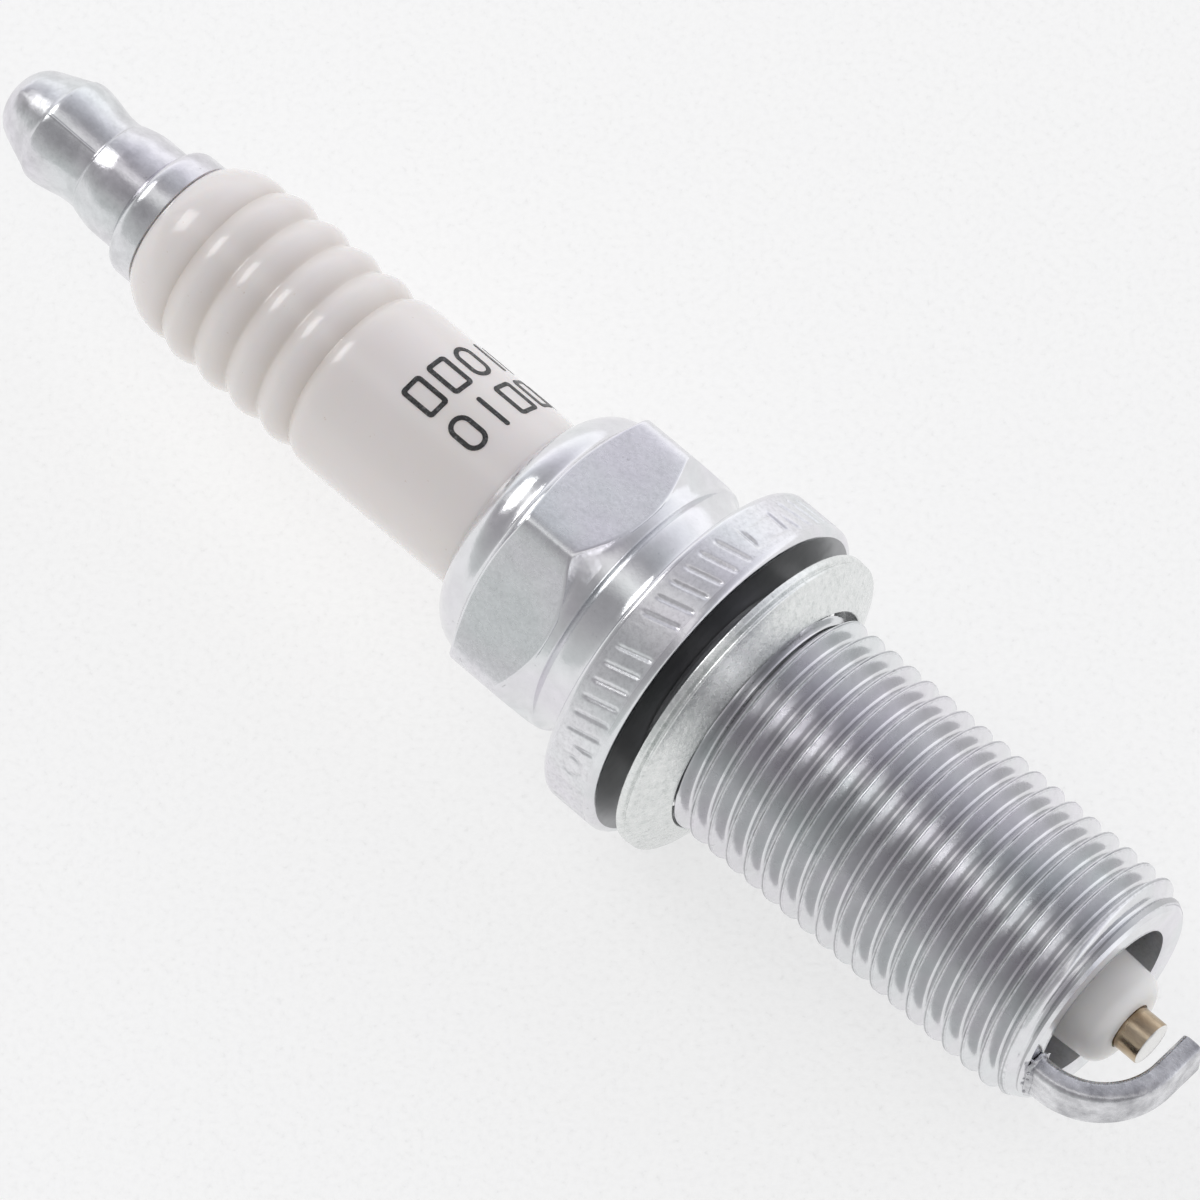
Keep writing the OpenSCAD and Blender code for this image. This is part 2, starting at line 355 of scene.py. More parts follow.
def finished(name, mesh, material, sharp=35, merge=0.0002):
    """Turns a bmesh into a linked object with outward faces, smooth but for edges over sharp degrees."""
    bmesh.ops.remove_doubles(mesh, verts=mesh.verts, dist=merge * MM)
    bmesh.ops.dissolve_degenerate(mesh, edges=mesh.edges, dist=merge * MM * 0.5)
    bmesh.ops.recalc_face_normals(mesh, faces=mesh.faces)
    data = bpy.data.meshes.new(name)
    mesh.to_mesh(data)
    mesh.free()
    data.shade_smooth()
    data.set_sharp_from_angle(angle=math.radians(sharp))
    data.materials.append(material)
    piece = bpy.data.objects.new(name, data)
    bpy.context.collection.objects.link(piece)
    return piece


def hex_columns():
    """Angles round the shell, closer together at the hexagon's corners."""
    half = [0, 0.7, 1.5, 2.5, 4, 6.5, 10, 14, 18, 22, 26, 30]
    sector = half + [60 - a for a in reversed(half[1:-1])]
    return [HEX_CLOCK + 60 * side + a for side in range(6) for a in sector]


def hex_radius(angle):
    """Radius of the hexagon at an angle, its corners rounded off."""
    off = (angle - HEX_CLOCK) % 60 - 30
    flat = HEX_AF / 2 / math.cos(math.radians(off))
    corner = HEX_AF / math.sqrt(3) - HEX_CORNER_CUT
    return flat - HEX_SOFTNESS * math.log1p(math.exp((flat - corner) / HEX_SOFTNESS))


def round_spot(x, angle, size):
    """Where to read noise on a cylinder of that size, so that it meets itself all the way round."""
    a = math.radians(angle)
    return Vector((x, math.sin(a) * size, math.cos(a) * size))


def thread_radius(x, angle, start):
    """Radius of the rolled M14 thread: a lapped crest, 60 degree flanks and a round root."""
    phase = ((x - start) / PITCH - angle / 360) % 1
    off = min(phase, 1 - phase) * PITCH
    lap = (0.045 + 0.05 * noise.noise(round_spot(x * 0.4, angle, 14))) * max(0, 1 - off / LAP_WIDTH)
    flank = CREST_R - max(0, off - CREST_FLAT) * math.sqrt(3) - lap
    from_root = PITCH / 2 - off
    if from_root < ROOT_ROUND * math.cos(math.radians(30)):
        flank = ROOT_R + ROOT_ROUND - math.sqrt(ROOT_ROUND ** 2 - from_root ** 2)
    run_in = RELIEF_R + (x - THREAD_STARTS) * 1.1
    run_out = END_R + (THREAD_ENDS - x) * 0.55
    return min(flank, max(run_in, RELIEF_R), max(run_out, END_R - 0.02))


def add_thread(loft, angles):
    """The screw surface, whose rows follow the helix, between two plane rings."""
    start = CREST_AT_CAMERA - PITCH * (HEX_CLOCK / 360 + 1)
    offsets = [0, 0.045, 0.085, 0.13, 0.26, 0.40, 0.47, 0.53, 0.58, 0.625]
    turn_rows = [o / PITCH for o in offsets] + [1 - o / PITCH for o in reversed(offsets[1:-1])]
    rows = [k + f for k in range(18) for f in turn_rows]
    rows = [w for w in rows if start + PITCH * (w + 1) <= 26.3]
    per_turn = len(turn_rows)
    base = angles[0]
    columns = [*angles, base + 360]

    def radius_at(x, a):
        return thread_radius(x, a, start) + 0.012 * noise.noise(round_spot(x * 1.3, a, 9))

    def wear(x, a):
        """Painted shade and grain on a thread face: painted shade in the lap on the crest, faint in the root
        and heavy on the flank towards the flange, and grain near the crest.
        """
        turned_by = ((x - start) / PITCH - a / 360) % 1
        off_crest = min(turned_by, 1 - turned_by)
        dull = 0.4 if off_crest < 0.03 else 0
        if 0.46 < turned_by < 0.95:
            dull = 0.12
        if 0.52 < turned_by < 0.90:
            dull = 0.52
        return dull, 1 if off_crest < 0.1 else 0

    def sheet(grid):
        made = [[loft.mesh.verts.new(turn(x, radius_at(x, a), a)) for x, a in row] for row in grid]
        for one, two, here, there in zip(made, made[1:], grid, grid[1:]):
            for k in range(len(one) - 1):
                face = loft.mesh.faces.new((one[k], one[k + 1], two[k + 1], two[k]))
                middle = (here[k][0] + there[k + 1][0]) / 2, (here[k][1] + there[k + 1][1]) / 2
                # Painted shade and grain for each face of the thread
                face[loft.dull], face[loft.pickled] = wear(*middle)
        return made

    def along(turns, a=0):
        return start + PITCH * (turns + a / 360)

    first, last = along(0, base), rows[-1]
    loft.ring([(first, radius_at(first, a)) for a in angles], angles)
    sheet([[(first + PITCH * (a - base) / 360 * f, a) for a in columns] for f in [*rows[:per_turn], 1]])
    sheet([[(along(w, a), a) for a in columns] for w in rows])
    shares = [rows[len(rows) - 1 - per_turn + k] + 1 - last for k in range(per_turn + 1)]
    end = sheet([
        [(along(last, a) + (along(last + 1, base) - along(last, a)) * share, a) for a in columns]
        for share in shares])
    loft.last, loft.angles = end[-1][:-1], angles


def build_shell(material):
    """From the lip's bore over the hexagon and the flange, along the thread, and back through the bore."""
    loft = Loft()
    hexed = hex_columns()
    belt = [HEX_CLOCK + 360 * k / 1008 for k in range(1008)]
    even = [HEX_CLOCK + 2.5 * k for k in range(144)]
    half = HEX_AF / 2

    loft.rings(arc((-11.9, LIP_R), (-2.3, 2.2), 90, 0, 14) + [(-11.7, 7.7), (-11.58, 7.86)], hexed)
    top = [(HEX_TOP + (hex_radius(a) - half) * 0.53, hex_radius(a)) for a in hexed]
    foot = [(HEX_FOOT - (hex_radius(a) - half) * 1.05, hex_radius(a)) for a in hexed]
    for along, inwards in ((-0.06, 0.13), (-0.01, 0.05), (0.06, 0.01), (0.15, 0)):
        loft.ring([(x + along, r - inwards) for x, r in top], hexed)
    flats = []
    for share in (0.2, 0.4, 0.6, 0.8):
        flats += loft.ring([(a[0] * (1 - share) + b[0] * share, a[1]) for a, b in zip(top, foot)], hexed)
    flats += loft.ring([(x - 0.15, r) for x, r in foot], hexed)
    for along, inwards in ((-0.06, 0.01), (0.01, 0.05), (0.06, 0.12)):
        loft.ring([(x + along, r - inwards) for x, r in foot], hexed)
    loft.ring([(HEX_FOOT + 0.04 + 0.5 * (x - HEX_FOOT), 7.95 + 0.45 * (r - half)) for x, r in foot], hexed)
    loft.rings([(-6.5, 7.93), (-6.25, 7.93)] + arc((-6.2, 7.75), (0.2, 0.18), 20, 90, 3), hexed)
    loft.rings([(-5.8, 7.55), (-5.5, 7.42), (-5.1, 7.35), (-4.8, 7.35)], hexed)
    loft.rings(arc((-4.65, 8.5), (1.2, 1.15), 180, 95, 9) + [(-3.45, 9.2)], hexed)
    loft.rings([(-3.45, 9.5)] + arc((-3.0, 9.55), (-0.45, 0.45), 75, 0, 6), belt)
    stamped = loft.rings([(-3.0 + 2.55 * k / 20, FLANGE_R) for k in range(1, 21)], belt)
    loft.rings(arc((-0.45, 9.55), (0.45, 0.45), 15, 90, 6), belt)
    # The seat face and the relief under the flange carry painted shade, for the dark gap over the gasket
    dark = loft.rings([(0, 9.2), (0, 6.35), (0.12, RELIEF_R), (1.0, RELIEF_R), (1.6, RELIEF_R)], even)
    loft.rings([(2.2, RELIEF_R), (THREAD_STARTS, RELIEF_R), (2.65, 6.4)], even)
    add_thread(loft, even)
    loft.rings([(26.3, END_R), (REACH, END_R - 0.22)], even)
    loft.rings([(REACH, 5.7), (REACH, 5.2), (REACH, BORE_R + 0.14), (26.4, BORE_R)], even)
    # The bore carries painted shade as well as grain
    bored = loft.rings([(25.2, BORE_R), (23, BORE_R), (17.5, BORE_R)], even)
    bored += loft.rings([(17, STEP_R), (15.3, STEP_R), (14.6, MIDDLE_R)], even)
    loft.rings([(0.4, MIDDLE_R), (-1, UPPER_R), (-12.85, UPPER_R), (-13.15, UPPER_R - 0.15)], even)
    loft.rings([(-13.5, LIP_R), (-14.1, LIP_R)], even)
    loft.close()
    # Each group: its faces, its grain share and its painted shade share
    for faces, pickled, dull in ((flats, 0.5, 0), (stamped, 0.8, 0), (dark, 0, 0.8), (bored, 1, 0.5)):
        for face in faces:
            face[loft.pickled], face[loft.dull] = pickled, dull
    return finished("shell_body", loft.mesh, material, sharp=38)


def new_tree(name, inputs):
    """An empty Geometry Nodes tree with named inputs: the tree, what it is given, and its result."""
    tree = bpy.data.node_groups.new(name, "GeometryNodeTree")
    tree.interface.new_socket("Geometry", in_out="INPUT", socket_type="NodeSocketGeometry")
    tree.interface.new_socket("Material", in_out="INPUT", socket_type="NodeSocketMaterial")
    for label, value in inputs:
        kind = "NodeSocketInt" if isinstance(value, int) else "NodeSocketFloat"
        tree.interface.new_socket(label, in_out="INPUT", socket_type=kind).default_value = value
    tree.interface.new_socket("Geometry", in_out="OUTPUT", socket_type="NodeSocketGeometry")
    return tree, tree.nodes.new("NodeGroupInput").outputs, tree.nodes.new("NodeGroupOutput").inputs[0]


def calculate(tree, operation, a, b=0.0, c=0.0):
    inputs = [(0, a), (1, b), (2, c)]
    return add_node(tree, "ShaderNodeMath", inputs, operation=operation).outputs[0]


def apply_tree(piece, tree, values):
    """Runs a Geometry Nodes tree on a piece with these inputs and keeps the result as its mesh."""
    modifier = piece.modifiers.new(tree.name, "NODES")
    modifier.node_group = tree
    for item in tree.interface.items_tree:
        if item.in_out == "INPUT" and item.name in values:
            modifier[item.identifier] = values[item.name]
    evaluated = piece.evaluated_get(bpy.context.evaluated_depsgraph_get())
    mesh = bpy.data.meshes.new_from_object(evaluated)
    piece.modifiers.remove(modifier)
    piece.data = mesh
    return piece


def end_tree(tree, geometry, given, result):
    """Every tree ends the same way: real geometry, in its own material."""
    real = add_node(tree, "GeometryNodeRealizeInstances", [(0, geometry)])
    dressed = add_node(tree, "GeometryNodeSetMaterial", [
        ("Geometry", real.outputs[0]), ("Material", given["Material"]),
    ])
    link(tree, dressed.outputs[0], result)


def place_of(tree):
    """The x, y and z of each point, and its distance from the plug's axis."""
    position = add_node(tree, "GeometryNodeInputPosition").outputs[0]
    x, y, z = add_node(tree, "ShaderNodeSeparateXYZ", [(0, position)]).outputs
    squares = calculate(tree, "MULTIPLY_ADD", y, y, calculate(tree, "MULTIPLY", z, z))
    return x, y, z, calculate(tree, "SQRT", squares)


def end_by_moving(tree, given, result, y, z, share):
    """Moves each point away from the axis by a share of its distance from it, and ends the tree."""
    move = add_node(tree, "ShaderNodeCombineXYZ", [
        (1, calculate(tree, "MULTIPLY", y, share)), (2, calculate(tree, "MULTIPLY", z, share)),
    ]).outputs[0]
    moved = add_node(tree, "GeometryNodeSetPosition", [("Geometry", given["Geometry"]), ("Offset", move)])
    end_tree(tree, moved.outputs[0], given, result)


def rim_stamp():
    """Presses the batch marks into the flange's rim: slanting strokes in groups, a frame and a ring."""
    tree, given, result = new_tree("rim_stamp", [
        ("Rim radius", FLANGE_R * MM), ("Depth", 0.10 * MM), ("Line width", 0.2 * MM),
        ("Strokes", 58.0), ("In a group", 8.0), ("First angle", 0.0), ("Slant", -0.27),
        ("Centre", -1.6 * MM), ("Half length", 0.88 * MM),
        ("Frame angle", 0.0), ("Frame half width", 0.62 * MM), ("Frame half length", 1.2 * MM),
        ("Frame room", 1.9 * MM),
        ("Ring angle", 0.0), ("Ring radius", 0.66 * MM), ("Ring room", 1.4 * MM),
    ])
    sums = functools.partial(calculate, tree)

    def line(distance):
        """Depth share of a pressed line at a distance from its middle."""
        return spread(tree, distance, 0.0, given["Line width"], 1.0, 0.0, interpolation_type="SMOOTHSTEP")

    x, y, z, radius = place_of(tree)
    along = sums("SUBTRACT", x, given["Centre"])
    angle = sums("ARCTAN2", sums("MULTIPLY", y, -1.0), z)
    slant = sums("DIVIDE", sums("MULTIPLY", along, given["Slant"]), radius)
    turned_by = sums("SUBTRACT", sums("SUBTRACT", angle, slant), given["First angle"])
    count = sums("MULTIPLY", turned_by, sums("DIVIDE", given["Strokes"], math.tau))
    whole = sums("ROUND", count)
    beside = sums("DIVIDE", sums("ABSOLUTE", sums("SUBTRACT", count, whole)), given["Strokes"])
    stroke = line(sums("MULTIPLY", beside, sums("MULTIPLY", radius, math.tau)))
    ends = line(sums("SUBTRACT", sums("ABSOLUTE", along), given["Half length"]))
    grouped = sums("GREATER_THAN", sums("FLOORED_MODULO", whole, given["In a group"]), 0.5)
    share = sums("MULTIPLY", sums("MULTIPLY", stroke, ends), grouped)

    def arc_from(mark):
        return sums("MULTIPLY", sums("SUBTRACT", angle, given[mark]), radius)

    frame_x = sums("SUBTRACT", sums("ABSOLUTE", along), given["Frame half width"])
    frame_y = sums("SUBTRACT", sums("ABSOLUTE", arc_from("Frame angle")), given["Frame half length"])
    frame = line(sums("ABSOLUTE", sums("MAXIMUM", frame_x, frame_y)))
    ring_far = sums("SQRT", sums("MULTIPLY_ADD", along, along, sums("POWER", arc_from("Ring angle"), 2.0)))
    ring = line(sums("ABSOLUTE", sums("SUBTRACT", ring_far, given["Ring radius"])))
    for mark, outline in (("Frame", frame), ("Ring", ring)):
        clear = sums("GREATER_THAN", sums("ABSOLUTE", arc_from(mark + " angle")), given[mark + " room"])
        share = sums("MAXIMUM", sums("MULTIPLY", share, clear), outline)
    on_rim = sums("GREATER_THAN", radius, sums("SUBTRACT", given["Rim radius"], SKIN * MM))
    press = sums("MULTIPLY", sums("MULTIPLY", share, on_rim), sums("MULTIPLY", given["Depth"], -1.0))
    end_by_moving(tree, given, result, y, z, sums("DIVIDE", press, radius))
    return tree


def face_layer(tree, name):
    return add_node(tree, "ShaderNodeAttribute", attribute_name=name).outputs["Fac"]


# Dark grey that faces are blended towards where shade is painted on: painted shade, not a colour of the steel
BARE_STEEL = (0.235, 0.24, 0.245, 1)


def plated_steel(name, light=(0.82, 0.82, 0.84), gloss=0.17, dents=0.000018, mottle=0.93):
    """Bright zinc plate: a faint cast, soft dents, grain where it is pickled, and painted shade, a dark grey
    with a rougher finish, on the faces marked for it.
    """
    material, tree, surface = shader(name, ("Metallic", 1.0))
    cast = ramp(tree, noise_texture(tree, 260, 2.0, 0.5, (0.6, 1, 1)), [
        (0.34, (light[0] * 1.008, light[1] * 0.988, light[2] * 1.012)), (0.50, light),
        (0.66, (light[0] * 0.975, light[1], light[2] * 0.99)),
    ])
    sandy = noise_texture(tree, 4200, 6.0, 0.7)
    pits = ramp(tree, noise_texture(tree, 2300, 5.0, 0.7), [(0.26, 0.55), (0.35, 1.0)])
    cloudy = ramp(tree, noise_texture(tree, 900, 5.0, 0.65), [(0.34, mottle), (0.60, 1.0)])
    speckle = ramp(tree, sandy, [(0.34, 0.66), (0.48, 0.96), (0.60, 1.14)])
    pickled, dull = face_layer(tree, "pickled"), face_layer(tree, "dull")
    plate = mix(tree, 1.0, mix(tree, 0.7, cast, pits, "MULTIPLY"), cloudy, "MULTIPLY")
    coarse = mix(tree, calculate(tree, "MULTIPLY", pickled, 0.5), plate, speckle, "MULTIPLY")
    # Painted shade: the face layer blends the plate towards the dark grey
    link(tree, mix(tree, dull, coarse, BARE_STEEL), surface["Base Color"])
    polish = uneven(tree, 1100, 4.0, 0.6, gloss - 0.04, gloss + 0.06)
    rougher = calculate(tree, "MULTIPLY_ADD", pickled, 0.18, polish)
    link(tree, calculate(tree, "MULTIPLY_ADD", dull, 0.22, rougher), surface["Roughness"])
    fine = bump(tree, sandy, 0.00004, calculate(tree, "MULTIPLY_ADD", pickled, 0.4, 0.06))
    link(tree, grain(tree, 620, 4.0, 0.6, dents, 1.0, fine), surface["Normal"])
    return material


steel = plated_steel("zinc_plated_steel")
shell_body = build_shell(steel)
apply_tree(shell_body, rim_stamp(), {
    "Material": steel,
    "First angle": math.radians(HEX_CLOCK + 3.5),
    "Frame angle": math.radians(HEX_CLOCK - 48),
    "Ring angle": math.radians(HEX_CLOCK + 55),
})
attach(shell_body, "plug")
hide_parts("shell")

# ------------------------------
# Insulator. Sintered alumina under a clear glaze, ground before firing: five rounded ribs under
# the terminal, a plain barrel, and a bare matte nose that stands out of the shell. The crimped lip
# and the packing under it press it on the seat inside the shell.
BARREL_R, GROOVE_R, RIB_PITCH, LAST_GROOVE = 5.33, 4.93, 2.3, -26.4


def flashover_ribs():
    """Draws the barrel's surface in to full waves with narrow grooves between them."""
    tree, given, result = new_tree("flashover_ribs", [
        ("Ribs", 4.0),
        ("Pitch", RIB_PITCH * MM), ("First groove", LAST_GROOVE * MM),
        ("Barrel radius", BARREL_R * MM), ("Groove radius", GROOVE_R * MM),
        ("Fullness", 1.15),
    ])

    sums = functools.partial(calculate, tree)
    x, y, z, radius = place_of(tree)
    count = sums("DIVIDE", sums("SUBTRACT", given["First groove"], x), given["Pitch"])
    share = sums("FLOORED_MODULO", sums("MAXIMUM", count, 0.0), 1.0)
    wave = sums("POWER", sums("SINE", sums("MULTIPLY", share, math.pi)), given["Fullness"])
    depth = sums("SUBTRACT", given["Barrel radius"], given["Groove radius"])
    wanted = sums("MULTIPLY_ADD", wave, depth, given["Groove radius"])
    before_end = sums("LESS_THAN", count, sums("SUBTRACT", given["Ribs"], 0.01))
    ribbed = sums("MULTIPLY", sums("GREATER_THAN", count, -0.001), before_end)
    outside = sums("GREATER_THAN", radius, sums("SUBTRACT", given["Barrel radius"], SKIN * MM))
    change = sums("SUBTRACT", sums("DIVIDE", wanted, radius), 1.0)
    share = sums("MULTIPLY", change, sums("MULTIPLY", ribbed, outside))
    end_by_moving(tree, given, result, y, z, share)
    return tree


def build_insulator(material):
    """From the nose over the steps inside the shell to the terminal's end, and back through the bore."""
    outline = [(28.3, 1.36), (28.3, 1.6), (28.3, 1.84)] + arc((27.42, 1.86), (0.88, 0.90), 90, 4, 10)
    outline += [(27.0, 2.78), (REACH, 2.81), (25.5, 2.86), (24, 2.95), (20, 3.2), (17, 3.55), (15.13, 3.62)]
    outline += [(14.3, 4.6), (14.1, 4.65), (0.4, 4.65), (-1, 5.9), (-5.6, 5.9), (-6.2, BARREL_R)]
    barrel = ((-12.9, 0), (-13.2, 0.2), (-13.9, 0.2), (-14.3, 0), (-14.6, 0), (-20, 0), (-25.0, 0),
              (-25.35, 0.01), (-25.65, 0.05), (-25.95, 0.15), (-26.2, 0.3))
    outline += [(x, BARREL_R - inwards) for x, inwards in barrel]
    outline += [(LAST_GROOVE - RIB_PITCH * k / 14, BARREL_R) for k in range(56)]
    outline += [(-35.6, GROOVE_R), (-35.75, 4.99), (-36.0, 5.07), (-36.4, 5.11), (-36.9, 5.06), (-37.4, 4.93)]
    outline += [(-37.9, 4.70), (-38.3, 4.45), (-38.6, 4.22), (-38.82, 4.02), (-38.9, 3.85)]
    outline += [(-38.9, 3.0), (-38.9, 2.0), (11.3, 2.0), (12, 1.36)]
    loft = Loft()
    loft.rings(outline, [3 * k for k in range(120)])
    loft.close()
    return finished("insulator_ceramic", loft.mesh, material, sharp=50)


def glazed_alumina():
    """Faintly clouded white ceramic, with painted shade in the rib grooves, warmer and darker, and the bare
    nose matte.
    """
    material, tree, surface = shader(
        "glazed_alumina", ("Specular IOR Level", 0.5), ("Subsurface Weight", 0.25),
        ("Subsurface Radius", (0.0016, 0.0012, 0.0009)), ("Subsurface Scale", 1.0),
        ("Coat Weight", 0.6), ("Coat Roughness", 0.09))
    place = object_coordinates(tree)
    x = add_node(tree, "ShaderNodeSeparateXYZ", [(0, place)]).outputs[0]
    bare = spread(tree, x, 10 * MM, 12 * MM)
    clouds = ramp(tree, noise_texture(tree, 140, 3.0, 0.5), [
        (0.30, (0.89, 0.835, 0.80)), (0.52, (0.905, 0.85, 0.825)), (0.74, (0.895, 0.845, 0.80)),
    ])
    specks = ramp(tree, noise_texture(tree, 2600, 3.0, 0.7), [(0.24, (0.86, 0.80, 0.74)), (0.30, (1, 1, 1))])
    body = mix(tree, 1.0, clouds, specks, "MULTIPLY")
    outwards = add_node(tree, "ShaderNodeVectorMath", [(0, place), (1, (0, 1, 1))], operation="MULTIPLY")
    radius = add_node(tree, "ShaderNodeVectorMath", [(0, outwards.outputs[0])], operation="LENGTH")
    # Painted shade in the rib grooves: a warmer, darker colour as the radius drops towards a groove, over the
    # ribs only
    narrow = spread(tree, radius.outputs["Value"], GROOVE_R * MM, (BARREL_R - 0.03) * MM, 1.0, 0.0)
    ribbed = spread(tree, x, (LAST_GROOVE - 4.4 * RIB_PITCH) * MM, (LAST_GROOVE - 4 * RIB_PITCH) * MM)
    pooled = calculate(tree, "MULTIPLY", narrow, ribbed)
    deep = mix(tree, pooled, body, (0.80, 0.735, 0.68, 1))
    link(tree, mix(tree, bare, deep, (0.97, 0.945, 0.91, 1)), surface["Base Color"])
    link(tree, spread(tree, bare, 0.0, 1.0, 0.2, 0.75), surface["Roughness"])
    ripple = grain(tree, 420, 3.0, 0.5, 0.00004, 0.35)
    link(tree, grain(tree, 6000, 2.0, 0.6, 0.00001, 0.25, ripple), surface["Normal"])
    return material


glazed = glazed_alumina()
ceramic = build_insulator(glazed)
apply_tree(ceramic, flashover_ribs(), {"Material": glazed})
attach(ceramic, "plug")
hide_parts("insulator")

# ------------------------------
# Print on the barrel. Two rows of plain bars, rings and boxes in black enamel, fired on the
# ceramic where makers put their marks. They spell nothing.
PRINT_MIDDLE, PRINT_ROW_GAP, PRINT_MARKS, PRINT_SPACING = -19.2, 3.1, 7, 1.9


def black_enamel():
    material, tree, surface = shader("black_enamel")
    worn = ramp(tree, noise_texture(tree, 4200, 5.0, 0.7), [(0.30, 0.16), (0.46, 0.035), (0.70, 0.016)])
    link(tree, worn, surface["Base Color"])
    link(tree, uneven(tree, 1800, 3.0, 0.6, 0.22, 0.45), surface["Roughness"])
    link(tree, grain(tree, 2400, 3.0, 0.6, 0.00002, 0.5), surface["Normal"])
    return material


def barrel_marks():
    """Two rows of bars, rings and boxes, laid out flat as instances and then bent round the barrel."""
    tree, given, result = new_tree("barrel_marks", [
        ("Marks", PRINT_MARKS),
        ("Spacing", PRINT_SPACING * MM), ("Row gap", PRINT_ROW_GAP * MM),
        ("Mark height", 2.3 * MM), ("Line width", 0.28 * MM),
        ("Thickness", 0.06 * MM), ("Barrel radius", BARREL_R * MM),
        ("Middle", PRINT_MIDDLE * MM), ("First angle", 0.0),
    ])
    sums = functools.partial(calculate, tree)
    spacing, width, tall = given["Spacing"], given["Line width"], given["Mark height"]

    def joined(*parts):
        node = tree.nodes.new("GeometryNodeJoinGeometry")
        for part in parts:
            link(tree, part, node.inputs[0])
        return node.outputs[0]

    def rounded_box(long, wide, side, share):
        """An outline whose corner radius is a share of one of its sides."""
        box = add_node(tree, "GeometryNodeCurvePrimitiveQuadrilateral", [("Width", long), ("Height", wide)])
        return add_node(tree, "GeometryNodeFilletCurve", [
            ("Curve", box.outputs[0]), ("Count", 6), ("Radius", sums("MULTIPLY", side, share)),
        ], mode="POLY").outputs[0]

    def printed(*outlines):
        """A thin closed plate between these outlines, as an instance."""
        face = add_node(tree, "GeometryNodeFillCurve", [(0, joined(*outlines))], mode="TRIANGLES").outputs[0]
        raised = add_node(tree, "GeometryNodeExtrudeMesh", [
            ("Mesh", face), ("Offset Scale", given["Thickness"]), ("Individual", False),
        ]).outputs[0]
        bottom = add_node(tree, "GeometryNodeFlipFaces", [(0, face)]).outputs[0]
        whole = add_node(tree, "GeometryNodeMergeByDistance", [
            (0, joined(raised, bottom)), ("Distance", 0.002 * MM),
        ])
        return add_node(tree, "GeometryNodeGeometryToInstance", [(0, whole.outputs[0])]).outputs[0]

    broad = sums("MULTIPLY", tall, 0.62)
    tall_in, broad_in = (sums("MULTIPLY_ADD", width, -2.0, side) for side in (tall, broad))
    marks = joined(
        printed(rounded_box(tall, width, width, 0.49)),
        printed(rounded_box(tall, broad, broad, 0.49), rounded_box(tall_in, broad_in, broad_in, 0.49)),
        printed(rounded_box(tall, broad, width, 1.0), rounded_box(tall_in, broad_in, width, 0.3)))
    grid = add_node(tree, "GeometryNodeMeshGrid", [
        ("Size X", given["Row gap"]), ("Vertices X", 2), ("Vertices Y", given["Marks"]),
        ("Size Y", sums("MULTIPLY", sums("SUBTRACT", given["Marks"], 1.0), spacing)),
    ])
    x, y, z, radius = place_of(tree)
    step = sums("ROUND", sums("DIVIDE", y, spacing))
    row = sums("GREATER_THAN", x, 0.0)
    order = sums("MULTIPLY_ADD", step, 2.0, sums("MULTIPLY_ADD", row, 3.0, 20.0))
    kind = sums("FLOOR", sums("DIVIDE", sums("FLOORED_MODULO", order, 7.0), 2.4))
    spots = add_node(tree, "GeometryNodeMeshToPoints", [(0, grid.outputs[0])])
    laid = add_node(tree, "GeometryNodeInstanceOnPoints", [
        ("Points", spots.outputs[0]), ("Instance", marks), ("Pick Instance", True), ("Instance Index", kind),
    ])
    flat = add_node(tree, "GeometryNodeRealizeInstances", [(0, laid.outputs[0])])
    sunk = sums("MULTIPLY", given["Thickness"], 0.6)
    height = sums("SUBTRACT", sums("ADD", z, given["Barrel radius"]), sunk)
    angle = sums("SUBTRACT", given["First angle"], sums("DIVIDE", y, given["Barrel radius"]))
    bent = add_node(tree, "ShaderNodeCombineXYZ", [
        (0, sums("ADD", x, given["Middle"])),
        (1, sums("MULTIPLY", sums("MULTIPLY", height, -1.0), sums("SINE", angle))),
        (2, sums("MULTIPLY", height, sums("COSINE", angle))),
    ]).outputs[0]
    wrapped = add_node(tree, "GeometryNodeSetPosition", [("Geometry", flat.outputs[0]), ("Position", bent)])
    end_tree(tree, wrapped.outputs[0], given, result)
    return tree


enamel_black = black_enamel()
enamel = finished("barrel_print", bmesh.new(), enamel_black)
apply_tree(enamel, barrel_marks(), {
    "Material": enamel_black,
    "First angle": math.radians(HEX_CLOCK - 16) - (PRINT_MARKS - 1) / 2 * PRINT_SPACING / BARREL_R,
})
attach(enamel, "plug")

# ------------------------------
# Terminal stud. Plated steel: a round collar on top of the ceramic, the M4 thread that the nut
# screws on, and a shank that the glass seal grips inside, knurled on the real stud but drawn plain.
COLLAR_FOOT, COLLAR_R = -38.93, 3.93
STUD_PITCH, STUD_ROOT_R, STUD_FROM, STUD_TO = 0.7, 1.62, -40.95, -48.05


